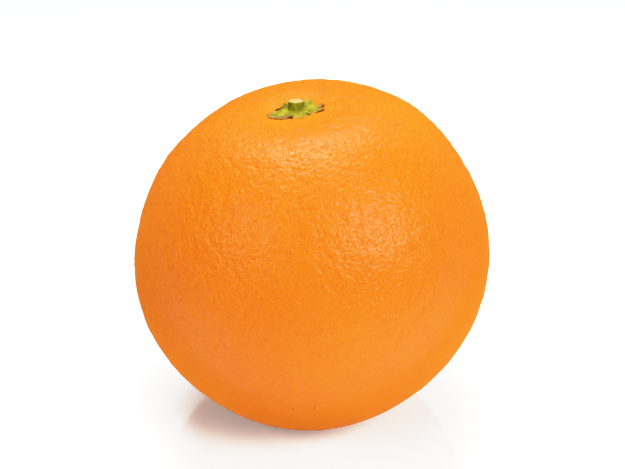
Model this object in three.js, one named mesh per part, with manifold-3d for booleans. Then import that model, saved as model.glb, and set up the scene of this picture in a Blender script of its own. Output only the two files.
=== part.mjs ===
// A ripe orange standing on its blossom end, with the green star of its calyx and a cut stub of stem on top.
// Millimetres, +Z up. The front is -Y and the right is +X. The origin is on the flat spot the fruit rests on,
// straight below the middle of the fruit.
import * as THREE from "three";
import { mergeVertices } from "three/addons/utils/BufferGeometryUtils.js";
import Module from "manifold-3d";

// The plain round body, before it swells and sinks.
const EQUATOR_RADIUS = 38.6;
const POLE_RADIUS = 37;
const CORE_LEAN = 6.5; // degrees that the core leans to the left
const FOOT_RADIUS = 7; // of the flat spot underneath
const PEEL_SPLITS = 18; // of each edge of the icosahedron that the peel is drawn on

// The dimple around the stem. Its spread is an angle at the middle of the fruit, in degrees.
const HOLLOW = { depth: 4.9, spread: 14 };

// Where the body swells past its plain shape. Azimuth is 0 at the front and 90 on the right.
const SWELLINGS = [
  { azimuth: -71, elevation: -12, rise: 1.7, spread: 26 }, // the full left side
  { azimuth: -12, elevation: -49, rise: 1.6, spread: 24 }, // the heavy underside
  { azimuth: -165, elevation: 70, rise: 2.3, spread: 26 }, // the high shoulder behind the stem
  { azimuth: 113, elevation: 52, rise: 0.65, spread: 10 }, // a knuckle on the right shoulder
  { azimuth: -96, elevation: 31, rise: 0.55, spread: 9 }, // a knuckle on the left shoulder
];

// The calyx: a button with five lobes. A lobe's heading is 0 on the right and 90 behind.
const LOBES = [
  { heading: 202, reach: 6.4 },
  { heading: 274, reach: 5.3 },
  { heading: 346, reach: 6.1 },
  { heading: 58, reach: 5.6 },
  { heading: 130, reach: 5 },
];
const NOTCH_REACH = 4.5; // from the stem to the bottom of a notch between two lobes
const LOBE_POINT = 1.3; // 1 is a straight-sided lobe, and more rounds its tip
const BUTTON_THICKNESS = 0.7;
const RIM_THICKNESS = 0.4;
const TIP_LIFT = 0.25; // that the tips curl clear of the peel
const CALYX_RINGS = 7;
const CALYX_SEGMENTS = 90;

// The stub of stem, cut level a little above the button.
const STEM_RADIUS = 1.6;
const STEM_FLARE = 0.25; // that its base is wider all round
const STEM_HEIGHT = 1.4;
const RIB_COUNT = 5;
const RIB_HEIGHT = 0.08;
const STEM_RINGS = 6;
const STEM_SEGMENTS = 40;

const GAP = 0.3; // between two pieces that touch

const PEEL = new THREE.MeshStandardMaterial({ color: 0xf28c1e, roughness: 0.5, metalness: 0 });
const SEPAL = new THREE.MeshStandardMaterial({ color: 0xb4b83c, roughness: 0.65, metalness: 0 });
const BARK = new THREE.MeshStandardMaterial({ color: 0x848a2c, roughness: 0.7, metalness: 0 });

const wasm = await Module();
wasm.setup();

const { degToRad } = THREE.MathUtils;

// The unit vector that points from the middle of the fruit towards an azimuth and an elevation in degrees.
function towards(azimuth, elevation) {
  const level = Math.cos(degToRad(elevation));
  return new THREE.Vector3(
    Math.sin(degToRad(azimuth)) * level,
    -Math.cos(degToRad(azimuth)) * level,
    Math.sin(degToRad(elevation)),
  );
}

const CORE = towards(-90, 90 - CORE_LEAN);

// 1 along a line, fading with the angle from it.
function nearness(direction, line, spread) {
  return Math.exp(-0.5 * (direction.angleTo(line) / degToRad(spread)) ** 2);
}

// From the middle of the fruit to its skin, in a direction.
function skinRadius(direction) {
  const along = direction.dot(CORE);
  const across = Math.sqrt(Math.max(0, 1 - along * along));
  let radius = 1 / Math.hypot(across / EQUATOR_RADIUS, along / POLE_RADIUS);
  for (const swelling of SWELLINGS) {
    const line = towards(swelling.azimuth, swelling.elevation);
    radius += swelling.rise * nearness(direction, line, swelling.spread);
  }
  return radius - HOLLOW.depth * nearness(direction, CORE, HOLLOW.spread);
}

// The level of the flat spot, seen from the middle of the fruit: a chord of the curve of the underside.
const UNDERSIDE = skinRadius(towards(0, -90));
const FOOT_LEVEL = -Math.sqrt(UNDERSIDE ** 2 - FOOT_RADIUS ** 2);

// A geometry with nothing but positions, its equal points shared.
function bare(geometry) {
  const positions = new THREE.BufferGeometry();
  positions.setAttribute("position", geometry.getAttribute("position"));
  positions.setIndex(geometry.getIndex());
  return mergeVertices(positions);
}

function solidOf(geometry) {
  const merged = bare(geometry);
  return new wasm.Manifold(
    new wasm.Mesh({
      numProp: 3,
      vertProperties: merged.getAttribute("position").array,
      triVerts: new Uint32Array(merged.getIndex().array),
    }),
  );
}

function geometryOf(solid) {
  const { vertProperties, triVerts } = solid.getMesh();
  const geometry = new THREE.BufferGeometry();
  geometry.setAttribute("position", new THREE.BufferAttribute(vertProperties, 3));
  geometry.setIndex(new THREE.BufferAttribute(triVerts, 1));
  geometry.computeVertexNormals();
  return geometry;
}

// The whole skin, as a ball whose points are moved in or out to the skin's own radius.
function skinGeometry() {
  const ball = bare(new THREE.IcosahedronGeometry(1, PEEL_SPLITS));
  const positions = ball.getAttribute("position");
  for (let i = 0; i < positions.count; i += 1) {
    const point = new THREE.Vector3().fromBufferAttribute(positions, i).normalize();
    point.multiplyScalar(skinRadius(point));
    positions.setXYZ(i, point.x, point.y, point.z);
  }
  return ball;
}

// The fruit: the skin, cut off level where it rests.
function fruitGeometry() {
  const side = 4 * FOOT_RADIUS;
  const table = new THREE.BoxGeometry(side, side, side);
  table.translate(0, 0, FOOT_LEVEL - side / 2);
  return geometryOf(solidOf(skinGeometry()).subtract(solidOf(table)));
}

// A closed surface drawn like a globe: a point, rings of points that turn anticlockwise seen from above,
// and a point. at(ring, turn) places them, from ring 0 underneath to the last ring on top.
function globeGeometry(rings, segments, at) {
  const points = [at(0, 0)];
  for (let ring = 1; ring < rings; ring += 1)
    for (let segment = 0; segment < segments; segment += 1)
      points.push(at(ring, (2 * Math.PI * segment) / segments));
  points.push(at(rings, 0));

  const last = points.length - 1;
  const indexOf = (ring, segment) => 1 + (ring - 1) * segments + (segment % segments);
  const faces = [];
  for (let segment = 0; segment < segments; segment += 1) {
    faces.push(0, indexOf(1, segment + 1), indexOf(1, segment));
    for (let ring = 1; ring < rings - 1; ring += 1) {
      const [a, b] = [indexOf(ring, segment), indexOf(ring, segment + 1)];
      const [c, d] = [indexOf(ring + 1, segment + 1), indexOf(ring + 1, segment)];
      faces.push(a, b, c, a, c, d);
    }
    faces.push(last, indexOf(rings - 1, segment), indexOf(rings - 1, segment + 1));
  }
  const geometry = new THREE.BufferGeometry().setFromPoints(points);
  geometry.setIndex(faces);
  geometry.computeVertexNormals();
  return geometry;
}

// Two axes across the core, to the right and to the back, and the place of the calyx on the core.
const RIGHT = new THREE.Vector3(0, 1, 0).cross(CORE);
const BACK = new THREE.Vector3(0, 1, 0);
const HOLLOW_RADIUS = skinRadius(CORE);

// The point a height above the skin, at a distance and a heading from the core.
function aboveSkin(distance, heading, height) {
  const direction = CORE.clone().multiplyScalar(HOLLOW_RADIUS);
  direction.addScaledVector(RIGHT, distance * Math.cos(heading));
  direction.addScaledVector(BACK, distance * Math.sin(heading));
  direction.normalize();
  return direction.multiplyScalar(skinRadius(direction) + height);
}

// How far the calyx reaches from the core at a heading: out to the tip of a lobe, in to a notch.
function calyxReach(heading) {
  const halfLobe = Math.PI / LOBES.length;
  let reach = NOTCH_REACH;
  for (const lobe of LOBES) {
    const turn = heading - degToRad(lobe.heading);
    const off = Math.abs(Math.atan2(Math.sin(turn), Math.cos(turn))) / halfLobe;
    if (off < 1) reach = NOTCH_REACH + (lobe.reach - NOTCH_REACH) * (1 - off ** LOBE_POINT);
  }
  return reach;
}

// The calyx runs from the middle of its underside out to its rim, and back over the top.
function calyxGeometry() {
  const at = (ring, heading) => {
    const under = ring <= CALYX_RINGS;
    const out = (under ? ring : 2 * CALYX_RINGS + 1 - ring) / CALYX_RINGS;
    const thickness = THREE.MathUtils.lerp(BUTTON_THICKNESS, RIM_THICKNESS, out ** 2);
    const height = GAP + TIP_LIFT * out ** 4 + (under ? 0 : thickness);
    return aboveSkin(out * calyxReach(heading), heading, height);
  };
  return globeGeometry(2 * CALYX_RINGS + 1, CALYX_SEGMENTS, at);
}

// The stub stands upright on the button and is cut level, so its rings go from the button's slope to the cut.
function stemGeometry() {
  const baseHeight = 2 * GAP + BUTTON_THICKNESS;
  const cutLevel = aboveSkin(0, 0, baseHeight).z + STEM_HEIGHT;
  const at = (ring, heading) => {
    const up = THREE.MathUtils.clamp((ring - 1) / (STEM_RINGS - 2), 0, 1);
    const ribs = RIB_HEIGHT * Math.cos(RIB_COUNT * heading);
    const radius = STEM_RADIUS + STEM_FLARE * (1 - up) ** 3 + ribs;
    const inside = ring === 0 || ring === STEM_RINGS;
    const point = aboveSkin(inside ? 0 : radius, heading, baseHeight);
    point.z = THREE.MathUtils.lerp(point.z, cutLevel, up);
    return point;
  };
  return globeGeometry(STEM_RINGS, STEM_SEGMENTS, at);
}

function piece(name, geometry, material) {
  const mesh = new THREE.Mesh(geometry, material);
  mesh.name = name;
  return mesh;
}

// The pieces are made around the middle of the fruit, and then stand on the flat spot.
const upright = new THREE.Group();
upright.position.z = -FOOT_LEVEL;
upright.add(
  piece("fruit", fruitGeometry(), PEEL),
  piece("calyx", calyxGeometry(), SEPAL),
  piece("stem_stub", stemGeometry(), BARK),
);

const orange = new THREE.Group();
orange.add(upright);

export default orange;
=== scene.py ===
# %% [markdown]
# # An orange, peel and all
#
# A ripe orange stands on a white table. It is one berry with a pitted rind, a small green calyx in the
# hollow on top, and a stub of stem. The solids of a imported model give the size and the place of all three.
# Here they get their real surface: thousands of oil glands, ragged sepals, bark and a fresh cut.

# %% Load the solids
import math

import bmesh
import bpy
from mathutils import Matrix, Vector, noise
from mathutils.bvhtree import BVHTree


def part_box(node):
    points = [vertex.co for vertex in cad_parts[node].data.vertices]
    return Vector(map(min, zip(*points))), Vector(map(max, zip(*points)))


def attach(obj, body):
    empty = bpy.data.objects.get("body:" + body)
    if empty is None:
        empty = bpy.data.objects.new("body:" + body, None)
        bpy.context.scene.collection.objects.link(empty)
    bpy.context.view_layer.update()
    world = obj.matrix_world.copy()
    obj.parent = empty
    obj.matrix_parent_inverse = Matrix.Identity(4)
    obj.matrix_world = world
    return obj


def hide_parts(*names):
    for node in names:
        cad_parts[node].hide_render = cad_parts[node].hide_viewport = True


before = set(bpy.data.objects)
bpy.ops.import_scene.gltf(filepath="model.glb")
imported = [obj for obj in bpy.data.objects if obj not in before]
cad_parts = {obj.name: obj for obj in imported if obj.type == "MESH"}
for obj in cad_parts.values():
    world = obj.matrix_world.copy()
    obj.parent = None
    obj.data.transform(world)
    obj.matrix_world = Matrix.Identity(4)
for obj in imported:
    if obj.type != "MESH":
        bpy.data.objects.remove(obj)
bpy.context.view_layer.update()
print("solids:", sorted(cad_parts))

# %% Measure them
MIDDLE_SHARE = 0.511  # how far up the fruit its middle lies

fruit_low, fruit_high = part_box("fruit")
middle = Vector((0, 0, MIDDLE_SHARE * fruit_high.z))
calyx_low, calyx_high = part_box("calyx")
core = ((calyx_low + calyx_high) / 2 - middle).normalized()
print(f"the fruit is {1000 * (fruit_high - fruit_low).x:.1f} mm wide, and its core leans "
      f"{math.degrees(core.angle(Vector((0, 0, 1)))):.1f} degrees")

# %% [markdown]
# ## Writing node trees as sums
#
# Shaders and Geometry Nodes are both graphs of small sums. Wiring them line by line hides the sum, so a
# `Wire` stands for one output socket and takes Python's operators: `1 - mask * 0.5` adds the Math nodes by
# itself. Every other kind of node comes from `Graph.add`, with its settings first and its sockets after them.

# %% Wires and graphs
def pick(sockets, key):
    """The socket with this place, identifier or name."""
    if isinstance(key, int):
        return sockets[key]
    named = [socket for socket in sockets if socket.identifier == key]
    named += [socket for socket in sockets if socket.name == key and socket.enabled]
    return named[0]


class Wire:
    """One output socket, used in Python as if it were a number."""

    def __init__(self, graph, socket):
        self.graph = graph
        self.socket = socket

    def output(self, key):
        """Another output of the same node."""
        return Wire(self.graph, pick(self.socket.node.outputs, key))

    def math(self, operation, *values):
        return self.graph.add("ShaderNodeMath", {"operation": operation}, dict(enumerate(values)))

    def __add__(self, other):
        return self.math("ADD", self, other)

    def __sub__(self, other):
        return self.math("SUBTRACT", self, other)

    def __rsub__(self, other):
        return self.math("SUBTRACT", other, self)

    def __mul__(self, other):
        return self.math("MULTIPLY", self, other)

    def __rtruediv__(self, other):
        return self.math("DIVIDE", other, self)

    def __pow__(self, other):
        return self.math("POWER", self, other)

    __radd__ = __add__
    __rmul__ = __mul__

    def at_least(self, other):
        return self.math("MAXIMUM", self, other)

    def fade(self, start, end):
        """0 before start and 1 after end, with a smooth step between. start may be the larger one."""
        settings = {"interpolation_type": "SMOOTHSTEP"}
        if start > end:
            return 1 - self.fade(end, start)
        return self.graph.add("ShaderNodeMapRange", settings, {0: self, 1: start, 2: end})


class Graph:
    """A node tree that is filled by calls."""

    def __init__(self, tree):
        self.tree = tree

    def add(self, kind, settings=None, sockets=None):
        """Makes a node and hands back its first output."""
        node = self.tree.nodes.new(kind)
        for name, value in (settings or {}).items():
            setattr(node, name, value)
        for key, value in (sockets or {}).items():
            socket = pick(node.inputs, key)
            if isinstance(value, Wire):
                self.tree.links.new(value.socket, socket)
            else:
                socket.default_value = value
        outputs = [socket for socket in node.outputs if socket.enabled]
        return Wire(self, outputs[0]) if outputs else node

    def vector(self, operation, *values, **sockets):
        return self.add("ShaderNodeVectorMath", {"operation": operation}, dict(enumerate(values)) | sockets)

    def mix(self, share, first, second):
        """A colour between two, by a share from 0 to 1."""
        sockets = {"Factor_Float": share, "A_Color": first, "B_Color": second}
        return self.add("ShaderNodeMix", {"data_type": "RGBA"}, sockets)


# %% [markdown]
# ## The camera
#
# Seen from close by, a fruit's far side falls away, and less of its top shows than a long lens would give. So
# the camera stands only five and a half radii from the middle. It looks down by about thirty degrees, and it
# aims a few millimetres over the middle, so that the fruit stands a little low in the view.

# %% Camera
CAMERA_DISTANCE = 0.2136
CAMERA_ELEVATION = math.radians(29.5)
AIM_UP = 0.0036
AIM_LEFT = 0.00055
LENS_MM = 54.8

right = Vector((1, 0, 0))
to_camera = Vector((0, -math.cos(CAMERA_ELEVATION), math.sin(CAMERA_ELEVATION)))
up_in_view = to_camera.cross(right)

camera = bpy.data.objects.new("camera", bpy.data.cameras.new("camera"))
bpy.context.scene.collection.objects.link(camera)
camera.location = middle + to_camera * CAMERA_DISTANCE
aim = middle + up_in_view * AIM_UP - right * AIM_LEFT
camera.rotation_euler = (camera.location - aim).to_track_quat("Z", "Y").to_euler()
camera.data.lens = LENS_MM
camera.data.clip_start = 0.005
bpy.context.scene.camera = camera
print("camera at", [round(c, 4) for c in camera.location])

# %% [markdown]
# ## The rind, gland by gland
#
# Under an orange's skin sit thousands of oil glands, and over each one the skin dips into a pit. A bump map
# could fake that, but the pits would vanish from the outline and from an exported mesh. A fine grid pushed
# in and out by a texture would spend its faces evenly, pit or no pit.
#
# Here the mesh follows the glands instead. Points are scattered on a ball with a least distance between
# them, as glands are. The convex hull of the points joins each one to its neighbours, and the dual of that
# mesh gives every gland its own cell, like foam. Each cell is then inset once for the wall of its pit and
# once more to a point for the bottom. That costs about 18 triangles a gland.

# %% A tree with named inputs
def geometry_tree(name, inputs):
    """A Geometry Nodes tree and its group input, from {label: (socket kind, default)}."""
    tree = bpy.data.node_groups.new(name, "GeometryNodeTree")
    tree.interface.new_socket("Geometry", in_out="INPUT", socket_type="NodeSocketGeometry")
    tree.interface.new_socket("Geometry", in_out="OUTPUT", socket_type="NodeSocketGeometry")
    for label, (kind, default) in inputs.items():
        socket = tree.interface.new_socket(label, in_out="INPUT", socket_type="NodeSocket" + kind)
        if default is not None:
            socket.default_value = default
    graph = Graph(tree)
    return graph, graph.add("NodeGroupInput")


def end_tree(graph, geometry, material):
    """Ends a tree as the export needs it: real geometry that carries its material."""
    real = graph.add("GeometryNodeRealizeInstances", None, {"Geometry": geometry})
    sockets = {"Geometry": real, "Material": material}
    graph.add("NodeGroupOutput", None, {0: graph.add("GeometryNodeSetMaterial", None, sockets)})


# %% Cells around glands
TRIES = 6  # points tried in each square of the spacing, of which the ones that fit are kept
SAME_PLACE = 1e-6  # metres between points that count as one

# Lengths are in metres, Stem Side is a direction, Pit Width is a share of the cell, and Rounding is how often
# the shape is blurred.
rind, given = geometry_tree("rind", {
    "Middle": ("Vector", None),
    "Stem Side": ("Vector", None),
    "Ball Radius": ("Float", 0.0385),
    "Gland Spacing": ("Float", 0.00106),
    "Pit Width": ("Float", 0.56),
    "Pit Depth": ("Float", 0.00011),
    "Swell": ("Float", 0.00016),
    "Ripple": ("Float", 0.00023),
    "Scar Depth": ("Float", 0.0007),
    "Rounding": ("Int", 24),
    "Seed": ("Int", 11),
    "Peel": ("Material", None),
})


def on_ball(graph, geometry):
    """Moves every point of a geometry out to the ball."""
    outward = graph.vector("NORMALIZE", graph.add("GeometryNodeInputPosition"))
    place = graph.vector("SCALE", outward, Scale=given.output("Ball Radius"))
    return graph.add("GeometryNodeSetPosition", None, {"Geometry": geometry, "Position": place})


ball = rind.add("GeometryNodeMeshIcoSphere", None, {
    "Radius": given.output("Ball Radius"),
    "Subdivisions": 6,
})
glands = rind.add("GeometryNodeDistributePointsOnFaces", {"distribute_method": "POISSON"}, {
    "Mesh": ball,
    "Distance Min": given.output("Gland Spacing"),
    "Density Max": TRIES / given.output("Gland Spacing") ** 2,
    "Seed": given.output("Seed"),
})
joined = rind.add("GeometryNodeConvexHull", None, {0: on_ball(rind, glands)})
cells = rind.add("GeometryNodeDualMesh", None, {"Mesh": joined})
print("cells around the glands:", len(rind.tree.nodes), "nodes")

# %% [markdown]
# Each cell gets a random number, its luck, so that no two pits are alike. `inset` shrinks a copy of every
# chosen face and marks the new corners with how deep they lie in the pit: 0 on the ridge between glands, 1 at
# the bottom.

# %% Pits in the cells
WALL_SHARE = 0.42  # of the pit's depth, at the foot of its wall


def store(graph, geometry, name, value, domain="POINT", where=True):
    sockets = {"Geometry": geometry, "Name": name, "Value": value, "Selection": where}
    return graph.add("GeometryNodeStoreNamedAttribute", {"data_type": "FLOAT", "domain": domain}, sockets)


def read(graph, name):
    return graph.add("GeometryNodeInputNamedAttribute", {"data_type": "FLOAT"}, {"Name": name})


def inset(graph, mesh, chosen, size, depth):
    """Insets the chosen faces to a share of their size, and stores the depth of the new corners."""
    sockets = {"Mesh": mesh, "Selection": chosen, "Offset Scale": 0.0, "Individual": True}
    extruded = graph.add("GeometryNodeExtrudeMesh", {"mode": "FACES"}, sockets)
    top = extruded.output("Top")
    sockets = {"Geometry": extruded, "Selection": top, "Scale": size}
    shrunk = graph.add("GeometryNodeScaleElements", None, sockets)
    return store(graph, shrunk, "pit", depth, where=top), top


luck = rind.add("FunctionNodeRandomValue", {"data_type": "FLOAT"}, {"Seed": given.output("Seed")})
marked = store(rind, cells, "luck", luck, domain="FACE")
marked = store(rind, marked, "pit", 0.0)

# By luck a pit is up to a fifth narrower or wider than the rest.
pit_width = given.output("Pit Width") * (0.8 + 0.4 * read(rind, "luck"))
walled, floors = inset(rind, marked, True, pit_width, WALL_SHARE)
pointed, _ = inset(rind, walled, floors, 0.0, 1.0)
pitted = rind.add("GeometryNodeMergeByDistance", None, {"Geometry": pointed, "Distance": SAME_PLACE})
print("and their pits:", len(rind.tree.nodes), "nodes")

# %% [markdown]
# Now the ball takes the fruit's shape. From the middle, a ray through each point finds how far away the
# solid's skin is. The solid is made of flat triangles, so that distance is blurred over the mesh: this rounds
# the triangles off, and it shrinks nothing, as it would if the points themselves were blurred.
#
# Two noises lift and sink the rind between the glands, the blossom end gets its scar, and the last step keeps
# the flat spot flat.

# %% The fruit's own shape
SCAR_EDGE = 0.085  # radians from the blossom end
SCAR_FLOOR = 0.030


def facing(graph, outward, line):
    """The angle in radians between the direction of a point and a line."""
    cosine = graph.vector("DOT_PRODUCT", outward, line).output("Value")
    return cosine.math("ARCCOSINE", cosine)


outward = rind.vector("NORMALIZE", rind.add("GeometryNodeInputPosition"))
reach = rind.add("GeometryNodeRaycast", None, {
    "Target Geometry": given.output("Geometry"),
    "Source Position": given.output("Middle"),
    "Ray Direction": outward,
    "Ray Length": 0.1,
}).output("Hit Distance")
smooth_reach = rind.add("GeometryNodeBlurAttribute", None, {
    "Value": reach,
    "Iterations": given.output("Rounding"),
})

from_stem = facing(rind, outward, given.output("Stem Side"))
lumps = rind.add("ShaderNodeTexNoise", None, {"Vector": outward, "Scale": 9.0, "Detail": 2.0})
ripples = rind.add("ShaderNodeTexNoise", None, {"Vector": outward, "Scale": 26.0, "Detail": 2.0})

# Pits and ripples are shallower in the hollow around the stem, and on the lower half of the fruit.
calm = (from_stem.fade(0.1, 0.5) * 0.5 + 0.5) * (1 - from_stem.fade(1.2, 2.0) * 0.7)

# A pit's depth follows the square of its luck, so most are shallow.
depth = read(rind, "pit") * (0.2 + 1.5 * read(rind, "luck") ** 2) * given.output("Pit Depth")
ripple = (ripples - 0.5) * given.output("Ripple") * 2
swell = (lumps - 0.5) * given.output("Swell") * 2
scar = from_stem.fade(math.pi - SCAR_EDGE, math.pi - SCAR_FLOOR) * given.output("Scar Depth")
distance = smooth_reach + swell + (ripple - depth) * calm - scar

place = rind.vector("ADD", given.output("Middle"), rind.vector("SCALE", outward, Scale=distance))
parts = rind.add("ShaderNodeSeparateXYZ", None, {0: place})
level = rind.add("ShaderNodeCombineXYZ", None, {
    "X": parts.output("X"),
    "Y": parts.output("Y"),
    "Z": parts.output("Z").at_least(0.0),
})
shaped = rind.add("GeometryNodeSetPosition", None, {"Geometry": pitted, "Position": level})
smooth = rind.add("GeometryNodeSetShadeSmooth", None, {"Geometry": shaped})
end_tree(rind, smooth, given.output("Peel"))
print("the whole rind tree:", len(rind.tree.nodes), "nodes")

# %% [markdown]
# ## What peel looks like
#
# Peel is a thin waxy skin over oily, see-through tissue. Light goes in, scatters and comes back a deeper
# orange, so part of the colour is subsurface scattering. The skin is a little darker in the pits, partly the
# glands' own colour and partly painted shade. It is yellower around the stem and unevenly ripe, and it
# carries a few specks and a corky scar at the blossom end. A picture of peel could give all that, but it
# would need unwrapping and show its seams, so the colours follow noises in the object's own coordinates.
#
# The wax gives a soft gloss. It is crinkled between the pits, finer than the mesh can follow, so the crinkle
# alone is a bump map: an even grain, and creases that run where a noise crosses its middle value. Seen at a
# slant, the walls of the pits break the gloss up further, so the roughness rises towards the rim.

# %% A material and its shader
def new_material(name, **constants):
    """A material, its graph and its Principled shader, with the sockets that are the same all over."""
    material = bpy.data.materials.new(name)
    material.use_nodes = True
    graph = Graph(material.node_tree)
    shader = material.node_tree.nodes["Principled BSDF"]
    for label, value in constants.items():
        shader.inputs[label.replace("_", " ")].default_value = value
    return material, graph, shader


def feed(graph, shader, **wires):
    for label, wire in wires.items():
        graph.tree.links.new(wire.socket, shader.inputs[label.replace("_", " ")])


def object_position(graph):
    return graph.add("ShaderNodeTexCoord").output("Object")


def attribute(graph, name):
    return graph.add("ShaderNodeAttribute", {"attribute_name": name}).output("Fac")


def texture_noise(graph, place, scale, detail=2.0, roughness=0.5):
    sockets = {"Vector": place, "Scale": scale, "Detail": detail, "Roughness": roughness}
    return graph.add("ShaderNodeTexNoise", None, sockets)


# %% Peel
RIPE = (0.51, 0.142, 0.005, 1)
GOLDEN = (0.53, 0.165, 0.006, 1)
# darker orange for the pits: partly the glands' own colour, partly painted shade
PIT_ORANGE_AND_SHADE = (0.45, 0.100, 0.002, 1)
STEM_YELLOW = (0.53, 0.215, 0.006, 1)
SPECK_BROWN = (0.16, 0.045, 0.006, 1)
CORK = (0.36, 0.170, 0.060, 1)
CORK_EDGE = 0.062  # radians from the blossom end
TINT_EDGE = 0.30  # radians from the core
TINT_FULL = 0.12
CRINKLE_HEIGHT = 0.00023

# Wax has an IOR of about 1.45. Here it is less, which stands in for dents too fine to model: they swallow a
# part of the gloss.
peel, g, shader = new_material("orange_peel", Specular_IOR_Level=0.5, IOR=1.27, Subsurface_Weight=0.25,
                               Subsurface_Scale=0.0015)
shader.inputs["Subsurface Radius"].default_value = (1.0, 0.35, 0.1)
place = object_position(g)
pit = attribute(g, "pit")

outward = g.vector("NORMALIZE", g.vector("SUBTRACT", place, tuple(middle)))
from_core = facing(g, outward, tuple(core))
ripeness = texture_noise(g, place, 28.0, 3.0).fade(0.35, 0.68)
mottle = texture_noise(g, place, 240.0, 3.0)

colour = g.mix(ripeness * 0.7 + (mottle - 0.5) * 0.5, RIPE, GOLDEN)
colour = g.mix(from_core.fade(TINT_EDGE, TINT_FULL) * 0.35, colour, STEM_YELLOW)
# The pits are darker: partly the glands' own colour, partly painted shade.
colour = g.mix(pit * 0.12, colour, PIT_ORANGE_AND_SHADE)

# Every cell of the pattern could hold a speck, but only about one in sixteen does.
spots = g.add("ShaderNodeTexVoronoi", None, {"Vector": place, "Scale": 230.0})
rare = g.add("ShaderNodeSeparateColor", None, {0: spots.output("Color")}).fade(0.93, 0.95)
speck = spots.output("Distance").fade(0.09, 0.03) * rare
colour = g.mix(speck * 0.7, colour, SPECK_BROWN)
from_blossom = math.pi - from_core
colour = g.mix(from_blossom.fade(CORK_EDGE, SCAR_FLOOR), colour, CORK)

grazing = g.add("ShaderNodeLayerWeight").output("Facing").fade(0.25, 0.70)
gloss = 0.26 + pit * 0.05 + (mottle - 0.5) * 0.08 + grazing * 0.75

grain = texture_noise(g, place, 1900.0, 1.5)
wave = texture_noise(g, place, 840.0, 2.0) - 0.5
crease = wave.math("ABSOLUTE", wave)  # 0 along a crease
upper = 1 - from_core.fade(1.2, 2.1) * 0.5  # half as crinkled on the lower half
crinkle = (grain * 0.6 + crease * 1.3) * upper
relief = g.add("ShaderNodeBump", None, {"Strength": 1.0, "Distance": CRINKLE_HEIGHT, "Height": crinkle})
feed(g, shader, Base_Color=colour, Roughness=gloss, Normal=relief)
print("peel shader nodes:", len(peel.node_tree.nodes))

# %% [markdown]
# ## Growing the rind on the solid
#
# The tree runs as a modifier on a copy of the solid fruit, whose loose triangles are merged first. The
# result is taken out as a plain mesh and the modifier goes, so nothing is left to work out when the model is
# exported.

# %% Grow the rind
def merged_copy(node):
    """A solid's mesh with its loose triangles joined."""
    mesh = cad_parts[node].data.copy()
    mesh.materials.clear()
    edit = bmesh.new()
    edit.from_mesh(mesh)
    bmesh.ops.remove_doubles(edit, verts=edit.verts, dist=SAME_PLACE)
    edit.to_mesh(mesh)
    edit.free()
    return mesh


def grow(piece, tree, values):
    """Runs a tree on a piece and keeps only the mesh that it makes."""
    modifier = piece.modifiers.new(tree.name, "NODES")
    modifier.node_group = tree
    for item in tree.interface.items_tree:
        if item.in_out == "INPUT" and item.name in values:
            modifier[item.identifier] = values[item.name]
    seen = piece.evaluated_get(bpy.context.evaluated_depsgraph_get())
    mesh = bpy.data.meshes.new_from_object(seen)
    piece.modifiers.clear()
    piece.data = mesh
    return piece


def triangles(mesh):
    return sum(len(polygon.vertices) - 2 for polygon in mesh.polygons)


skin = merged_copy("fruit")
rind_piece = bpy.data.objects.new("rind", skin)
bpy.context.scene.collection.objects.link(rind_piece)
grow(rind_piece, rind.tree, {"Middle": middle, "Stem Side": core, "Peel": peel})
print("rind:", triangles(rind_piece.data), "triangles,", len(rind_piece.data.vertices), "points")

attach(rind_piece, "root")
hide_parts("fruit")

# %% [markdown]
# ## The calyx
#
# The calyx is what is left of the flower: five sepals grown together into a button, with short lobes that lie
# on the peel. The lobes dry first at their edges, which turn brown, thin and ragged. A flat outline with a
# thickness would look like cut paper, and a sculpted button would hide its sizes. So it is drawn as rings
# around the core, out along the underside and back over the top: its section is a few lines that a reader
# can change, and its outline is a list of lobes and nicks.

# %% Places on the fruit
skin_tree = BVHTree.FromPolygons([v.co for v in skin.vertices], [p.vertices for p in skin.polygons])
across = Vector((0, 1, 0)).cross(core).normalized()
behind = core.cross(across)
hollow = (skin_tree.ray_cast(middle, core)[0] - middle).length
print(f"the hollow lies {1000 * hollow:.1f} mm from the middle")


def over_skin(distance, heading, height):
    """The point a height over the skin, at a distance and a heading from the core."""
    sideways = across * math.cos(heading) + behind * math.sin(heading)
    direction = (core * hollow + sideways * distance).normalized()
    return skin_tree.ray_cast(middle, direction)[0] + direction * height


def blend(first, second, share):
    return first + (second - first) * share


def step(value, start, end):
    """0 before start and 1 after end, with a smooth step between."""
    share = min(max((value - start) / (end - start), 0), 1)
    return share * share * (3 - 2 * share)


# %% A closed surface drawn as rings
def globe(name, rings, segments, at, material):
    """A point, rings of points and a point. at(ring, heading) gives a place and {attribute: value}."""
    turns = [2 * math.pi * segment / segments for segment in range(segments)]
    around = [at(ring, turn) for ring in range(1, rings) for turn in turns]
    samples = [at(0, 0.0)] + around + [at(rings, 0.0)]
    last = len(samples) - 1

    def corner(ring, segment):
        return 1 + (ring - 1) * segments + segment % segments

    faces = []
    for here in range(segments):
        beside = here + 1
        faces.append((0, corner(1, beside), corner(1, here)))
        faces.append((last, corner(rings - 1, here), corner(rings - 1, beside)))
        for ring in range(1, rings - 1):
            near = [corner(ring, here), corner(ring, beside)]
            faces.append(near + [corner(ring + 1, beside), corner(ring + 1, here)])

    mesh = bpy.data.meshes.new(name)
    mesh.from_pydata([place for place, _ in samples], [], faces)
    for label in samples[0][1]:
        layer = mesh.attributes.new(label, "FLOAT", "POINT")
        layer.data.foreach_set("value", [values[label] for _, values in samples])
    mesh.shade_smooth()
    mesh.materials.append(material)
    piece = bpy.data.objects.new(name, mesh)
    bpy.context.scene.collection.objects.link(piece)
    print(f"{name}: {triangles(mesh)} triangles")
    return piece


# %% The outline of the calyx
FRESH_REACH = 0.0043  # of the calyx where nothing sticks out

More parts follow.
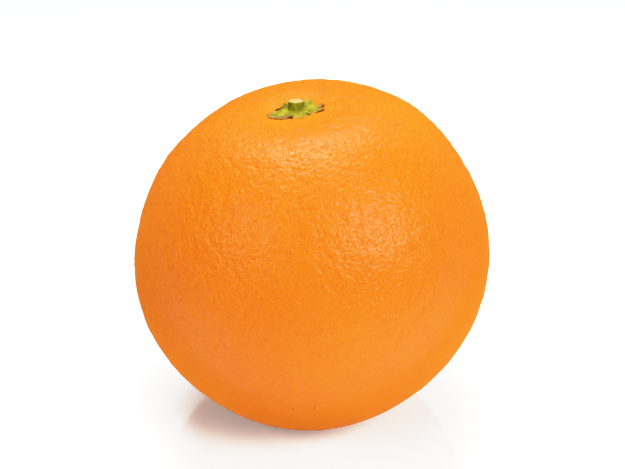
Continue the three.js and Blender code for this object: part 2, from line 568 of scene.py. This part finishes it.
# Two of the five sepals are torn in two. Angles are in degrees, and headings start from the right.
LOBES = [  # heading, reach from the core, half width, how dry, how far it curls up
    {"heading": 202, "reach": 0.0063, "width": 38, "dry": 0.45, "curl": 0.00010},
    {"heading": 236, "reach": 0.0047, "width": 34, "dry": 1.0, "curl": 0.00002},
    {"heading": 278, "reach": 0.0044, "width": 52, "dry": 0.1, "curl": 0.00000},
    {"heading": 341, "reach": 0.0061, "width": 17, "dry": 0.5, "curl": 0.00035},
    {"heading": 3, "reach": 0.0058, "width": 18, "dry": 0.48, "curl": 0.00040},
    {"heading": 58, "reach": 0.0051, "width": 40, "dry": 0.1, "curl": 0.00000},
    {"heading": 115, "reach": 0.0047, "width": 34, "dry": 0.2, "curl": 0.00005},
]
NICKS = [  # heading, depth, half width, how dark
    {"heading": 150, "depth": 0.0003, "width": 10, "dark": 0.7},
    {"heading": 168, "depth": 0.0000, "width": 17, "dark": 1.2},
    {"heading": 252, "depth": 0.0003, "width": 13, "dark": 1.6},
    {"heading": 313, "depth": 0.0002, "width": 7, "dark": 1.0},
    {"heading": 352, "depth": 0.0005, "width": 7, "dark": 0.5},
    {"heading": 128, "depth": 0.0002, "width": 5, "dark": 0.6},
]
RAGGED = 0.00022  # how far the rim wanders in and out
SUNK = 0.00006  # that the underside sits into the peel


def bump(heading, place):
    """1 at a place on the rim, 0 from its half width on, smooth between."""
    turn = heading - math.radians(place["heading"])
    off = math.atan2(math.sin(turn), math.cos(turn)) / math.radians(place["width"])
    return max(0, 1 - off * off) ** 2


def wobble(heading, distance, turns, seed):
    """A number from -1 to 1 that changes smoothly over the calyx and closes on itself all the way round."""
    place = Vector((math.cos(heading), math.sin(heading), 0)) * turns * (0.3 + distance)
    return noise.noise(place + Vector((0, 0, seed)))


def reach_at(heading):
    reach = FRESH_REACH + RAGGED * (wobble(heading, 1, 5, 3.1) + 0.5 * wobble(heading, 1, 16, 8.7))
    reach += sum((lobe["reach"] - FRESH_REACH) * bump(heading, lobe) for lobe in LOBES)
    return reach - sum(nick["depth"] * bump(heading, nick) for nick in NICKS)


reaches = [reach_at(math.radians(heading)) for heading in range(360)]
print(f"the calyx reaches {1000 * min(reaches):.1f} to {1000 * max(reaches):.1f} mm from the core")


# %% The calyx as rings
CALYX_RINGS = 26
CALYX_SEGMENTS = 260
BUTTON_HEIGHT = 0.00105
RIM_HEIGHT = 0.00012
VEIN_HEIGHT = 0.00008
PUCKER = 0.00010
COLLAR = 0.0020  # radius of the crease around the stem
COLLAR_WIDTH = 0.0003
COLLAR_DEPTH = 0.00016


def calyx_at(ring, heading):
    under = ring <= CALYX_RINGS
    out = (ring if under else 2 * CALYX_RINGS + 1 - ring) / CALYX_RINGS
    distance = out * reach_at(heading)
    lobed = step(out, 0.3, 0.9)

    height = -SUNK + sum(lobe["curl"] * bump(heading, lobe) for lobe in LOBES) * out ** 5
    if not under:
        height += blend(BUTTON_HEIGHT, RIM_HEIGHT, step(out, 0.25, 0.95)) + SUNK
        height += VEIN_HEIGHT * lobed * (1 - out ** 6) * wobble(heading, 0.7, 11, 4.4)
        height += PUCKER * wobble(heading, out, 7, 5.0) * step(out, 0.3, 0.6)
        height -= COLLAR_DEPTH * math.exp(-((distance - COLLAR) / COLLAR_WIDTH) ** 2)

    dry = max(lobe["dry"] * bump(heading, lobe) for lobe in LOBES)
    dry *= step(out, 0.45, 0.9)
    dark = max(nick["dark"] * bump(heading, nick) for nick in NICKS) * step(out, 0.60, 0.86)

    # The rim is dry brown; the underside is dark, partly dry brown and partly painted shade.
    edge = 0.8 if under else step(out, 0.97, 1) * (0.25 + 0.6 * dry)
    return over_skin(distance, heading, height), {"dry": dry, "dark": max(dark, edge), "out": out}


# %% [markdown]
# ## Sepal skin
#
# A fresh calyx is a yellow green that thins out to amber at its rim. As a lobe dries it goes pale straw and
# then brown. Painting that by hand would need an image, and a noise alone would put the brown anywhere. So
# the rings above stored how dry and how dark each point is. On the underside the dark is partly dry brown and
# partly painted shade. The material only turns those numbers into colours, and a little noise breaks up the
# borders between them.

# %% Sepal material
LEAF_GREEN = (0.175, 0.165, 0.008, 1)
LEAF_YELLOW = (0.27, 0.235, 0.013, 1)
AMBER = (0.33, 0.17, 0.014, 1)
STRAW = (0.205, 0.120, 0.036, 1)
# brown of dry tissue, also used as painted shade on the underside
DRY_BROWN_AND_SHADE = (0.085, 0.026, 0.001, 1)

sepal_skin, g, shader = new_material("sepal_skin", IOR=1.18, Subsurface_Weight=0.1, Subsurface_Scale=0.0006)
place = object_position(g)
blotch = texture_noise(g, place, 700.0, 3.0)
fine = texture_noise(g, place, 4200.0, 2.0)
colour = g.mix(blotch.fade(0.35, 0.65), LEAF_GREEN, LEAF_YELLOW)
colour = g.mix((attribute(g, "out") + (blotch - 0.5) * 0.3).fade(0.78, 1.0), colour, AMBER)
colour = g.mix((attribute(g, "dry") + (fine - 0.5) * 0.4).fade(0.25, 0.6), colour, STRAW)
# Brown where the calyx is dry, nicked or at its rim, and painted shade on its underside.
colour = g.mix((attribute(g, "dark") + (fine - 0.5) * 0.4).fade(0.3, 0.6), colour, DRY_BROWN_AND_SHADE)
height = fine * 0.5 + blotch
relief = g.add("ShaderNodeBump", None, {"Strength": 0.6, "Distance": 0.00006, "Height": height})
feed(g, shader, Base_Color=colour, Roughness=0.5 + attribute(g, "dry") * 0.3, Normal=relief)

calyx = globe("calyx_star", 2 * CALYX_RINGS + 1, CALYX_SEGMENTS, calyx_at, sepal_skin)
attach(calyx, "root")
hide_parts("calyx")

# %% [markdown]
# ## The stub of stem
#
# The picker's clippers left a stub a little over a millimetre long. Its bark is green and ribbed, and the cut
# shows pale wood with a darker line under the bark. A cylinder has neither ribs nor a crooked cut, but the
# same rings that drew the calyx can have both. They run from inside the button up to the cut.

# %% Stem
STEM_RADIUS = 0.00167
STEM_FLARE = 0.00006
STEM_RIBS = 5
RIB_HEIGHT = 0.00006
STEM_HEIGHT = 0.00128  # over the button
STEM_ROOT = 0.0003  # that it starts inside the button
CUT_SLOPE = math.tan(math.radians(6.0))
CUT_ROUNDING = 0.00008
CUT_UNEVEN = 0.00004
STEM_RINGS = 30
CUT_RINGS = 8
STEM_SEGMENTS = 120
button_top = over_skin(0, 0, BUTTON_HEIGHT)
cut_middle = button_top + Vector((0, 0, STEM_HEIGHT))
print(f"the cut lies {1000 * cut_middle.z:.1f} mm over the table")


def stem_at(ring, heading):
    side_rings = STEM_RINGS - CUT_RINGS
    up = min(ring / side_rings, 1)
    inward = max(ring - side_rings, 0) / CUT_RINGS
    ribs = RIB_HEIGHT * (math.cos(STEM_RIBS * heading + 0.6) + 0.6 * wobble(heading, 1, 5, 2.2))
    radius = STEM_RADIUS + STEM_FLARE * (1 - up) ** 3 + ribs - CUT_ROUNDING * step(up, 0.93, 1)
    radius *= (1 - inward) * min(ring, 1)
    low = over_skin(radius, heading, BUTTON_HEIGHT - STEM_ROOT)
    cut = cut_middle.z - CUT_SLOPE * (low.y - cut_middle.y) + CUT_UNEVEN * wobble(heading, 1 - inward, 4, 6.0)
    place = Vector((low.x, low.y, blend(low.z, cut, up)))
    return place, {"inward": inward, "up": up, "cut": float(inward > 0)}


# %% Bark and cut wood
BARK_GREEN = (0.235, 0.235, 0.006, 1)
BARK_DARK = (0.12, 0.115, 0.004, 1)
WOOD_CREAM = (0.43, 0.265, 0.10, 1)
WOOD_LINE = (0.28, 0.27, 0.06, 1)

bark, g, shader = new_material("bark", IOR=1.42)
place = object_position(g)
streaks = texture_noise(g, g.vector("MULTIPLY", place, (1.0, 1.0, 0.2)), 2600.0, 3.0)
side = g.mix(streaks.fade(0.35, 0.62), BARK_DARK, BARK_GREEN)
face = g.mix(attribute(g, "inward").fade(0.05, 0.2), WOOD_LINE, WOOD_CREAM)
colour = g.mix(attribute(g, "cut"), side, face)
relief = g.add("ShaderNodeBump", None, {"Strength": 0.5, "Distance": 0.00005, "Height": streaks})
feed(g, shader, Base_Color=colour, Roughness=0.55 + streaks * 0.2, Normal=relief)

stem = globe("stem", STEM_RINGS, STEM_SEGMENTS, stem_at, bark)
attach(stem, "root")
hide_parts("stem_stub")

# %% [markdown]
# ## The table and the light
#
# A disc of glossy white paper lies under the fruit. It lights the fruit from below, which is why the
# underside is so bright, and it mirrors the foot of the fruit faintly. A bigger sheet would show a grey
# horizon from low down. Past the disc the view sees the world instead, which is white to the camera and
# lights the scene only faintly.
#
# Soft boxes do the rest. A single sun would be simpler, but its shadow would be hard and its glint a dot. The
# key on the right, the fill on the left and the pair overhead each leave a soft patch of gloss on the peel,
# so their places can be read off the fruit. The other three are wide and faint, and they lift the rim, the
# right side and the lower half. The front box gives no gloss, as if a polariser stood before it.

# %% Table
TABLE_RADIUS = 0.6
TABLE_CORNERS = 96

table_mesh = bpy.data.meshes.new("table")
turns = [2 * math.pi * corner / TABLE_CORNERS for corner in range(TABLE_CORNERS)]
corners = [(TABLE_RADIUS * math.cos(turn), TABLE_RADIUS * math.sin(turn), 0) for turn in turns]
table_mesh.from_pydata(corners, [], [range(TABLE_CORNERS)])
table = bpy.data.objects.new("table", table_mesh)
bpy.context.scene.collection.objects.link(table)
# A hard coating makes it glossier than plain paper.
paper, _, shader = new_material("paper", Roughness=0.07, IOR=1.8)
shader.inputs["Base Color"].default_value = (0.81, 0.855, 0.865, 1)
table_mesh.materials.append(paper)
print(f"the table is {2 * TABLE_RADIUS} m wide")

# %% Lights
LIGHT_DISTANCE = 3.0
SOFT_BOXES = {  # direction from the fruit, width, height, watts
    "key_box": ((0.56, -0.53, 0.64), 1.25, 1.3, 112.0),
    "fill_box": ((-0.67, -0.46, 0.58), 1.45, 1.1, 46.0),
    "top_box": ((-0.09, 0.46, 0.92), 1.95, 1.30, 113.0),
    "high_box": ((0.03, -0.02, 1.00), 1.8, 1.6, 22.0),
    "back_box": ((0.10, 0.80, 0.60), 2.4, 1.4, 15.0),
    "front_box": ((0.00, -0.93, 0.33), 5.0, 2.0, 49.0),
    "right_box": ((0.92, -0.05, 0.40), 3.0, 2.0, 14.0),
}
WORLD_STRENGTH = 0.10  # as a light
BACKDROP_STRENGTH = 1.8  # as a backdrop, where the view passes over the table's edge

for name, (direction, width, height, watts) in SOFT_BOXES.items():
    box = bpy.data.objects.new(name, bpy.data.lights.new(name, "AREA"))
    bpy.context.scene.collection.objects.link(box)
    box.data.shape = "RECTANGLE"
    box.data.size = width
    box.data.size_y = height
    box.data.energy = watts
    box.visible_glossy = name != "front_box"
    towards = Vector(direction).normalized()
    box.location = middle + towards * LIGHT_DISTANCE
    box.rotation_euler = towards.to_track_quat("Z", "Y").to_euler()

world = bpy.data.worlds.new("studio")
bpy.context.scene.world = world
world.use_nodes = True
background = world.node_tree.nodes["Background"]
background.inputs["Color"].default_value = (1, 1, 1, 1)
sky = Graph(world.node_tree)
looked_at = sky.add("ShaderNodeLightPath").output("Is Camera Ray")
feed(sky, background, Strength=WORLD_STRENGTH + looked_at * (BACKDROP_STRENGTH - WORLD_STRENGTH))
print("soft boxes:", ", ".join(SOFT_BOXES))

# %% [markdown]
# ## The camera's response
#
# A camera doesn't show light as it is. Its curve leaves the shadows a little darker and the middle steeper,
# and it squeezes whatever is nearly white. A ready-made view transform does something like it, but it turns
# bright orange pink or grey. On an orange the red is always close to the top, so the bend at the end matters
# most: it is what turns the brightest peel yellow.

# %% Response curve
# The lower points follow light ** 1.2, and from 0.76 on they bend over to white.
RESPONSE = [(0.05, 0.0275), (0.10, 0.063), (0.24, 0.180), (0.34, 0.275), (0.52, 0.455), (0.76, 0.76),
            (0.92, 0.875), (1.10, 0.930), (1.30, 0.965)]  # light that comes in, light that is shown
WHITE = 1.52  # light that is shown as white

view = bpy.context.scene.view_settings
view.view_transform = "Standard"
view.use_curve_mapping = True
curves = view.curve_mapping
curves.use_clip = False
curves.clip_max_x = 2 * WHITE
response = curves.curves[3]
response.points[1].location = (WHITE, 1.0)
for light, shown in RESPONSE:
    response.points.new(light, shown)
curves.update()
print("points on the response curve:", len(response.points))
